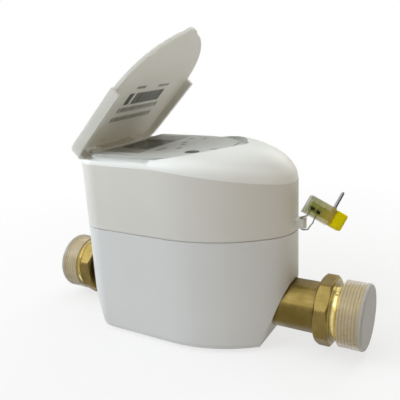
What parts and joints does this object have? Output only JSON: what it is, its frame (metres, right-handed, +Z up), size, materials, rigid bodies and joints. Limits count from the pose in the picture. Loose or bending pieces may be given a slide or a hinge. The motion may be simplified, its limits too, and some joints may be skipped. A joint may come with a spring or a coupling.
{
  "type": "ultrasonic water meter",
  "caption": "Household ultrasonic water meter: octagonal brass flow tube with threaded ends in a white housing with a hinged display lid, push-on thread caps and a wire seal.",
  "frame": {"origin": "middle of the flat underside, below the middle of the pipe", "axes": "+X along the pipe towards the outlet and the seal, +Y across the pipe to the far side, +Z up"},
  "size_m": [0.1688, 0.0646, 0.1445],
  "materials": {
    "brass": "machined and slightly dulled",
    "housing_white": "fine moulded texture",
    "crown_white": "fine moulded texture",
    "cover_white": "moulded",
    "lid_white": "moulded",
    "faceplate_grey": "satin",
    "window_smoke": "clear",
    "display_grey": "smooth",
    "optical_dark": "polished",
    "insert_black": "moulded",
    "stainless": "polished",
    "transducer_dark": "moulded",
    "steel": "zinc plated",
    "rubber_black": "smooth",
    "board_green": "solder mask",
    "battery_green": "sleeved",
    "cradle_white": "moulded",
    "lead_black": "smooth",
    "cap_milky": "milky and soft",
    "seal_clear": "clear",
    "seal_yellow": "clear yellow",
    "seal_grey": "moulded",
    "wire_steel": "stranded"
  },
  "bodies": {
    "meter": {"flow_tube": "brass", "measuring_insert": "insert_black", "inlet_mirror": "stainless", "outlet_mirror": "stainless", "inlet_transducer": "transducer_dark", "outlet_transducer": "transducer_dark", "transducer_o_rings": "rubber_black", "transducer_clamp": "steel", "clamp_screws": "steel", "lower_housing": "housing_white", "base_cover": "cover_white", "base_screws": "steel", "upper_housing": "crown_white", "housing_gasket": "rubber_black", "housing_screws": "steel", "faceplate": "faceplate_grey", "display_window": "window_smoke", "optical_window": "optical_dark", "display_module": "display_grey", "circuit_board": "board_green", "board_screws": "steel", "battery": "battery_green", "battery_cradle": "cradle_white", "transducer_leads": "lead_black", "hinge_pin": "steel"},
    "lid": {"lid": "lid_white"},
    "inlet_cap": {"inlet_cap": "cap_milky"},
    "outlet_cap": {"outlet_cap": "cap_milky"},
    "seal": {"seal_body": "seal_clear", "seal_rotor": "seal_yellow", "seal_key": "seal_grey", "seal_wire": "wire_steel"}
  },
  "joints": [
    {"name": "lid_hinge", "type": "hinge", "parent": "meter", "child": "lid", "pos_m": [-0.0475, 0, 0.088], "axis": [0, -1, 0], "range_deg": [-45, 45]},
    {"name": "inlet_cap_pull", "type": "slide", "parent": "meter", "child": "inlet_cap", "axis": [-1, 0, 0], "range_m": [0, 0.018]},
    {"name": "outlet_cap_pull", "type": "slide", "parent": "meter", "child": "outlet_cap", "axis": [1, 0, 0], "range_m": [0, 0.018]},
    {"name": "seal_swing", "type": "hinge", "parent": "meter", "child": "seal", "pos_m": [0.053, 0, 0.0583], "axis": [0, 0, 1], "range_deg": [-35, 35]}
  ]
}
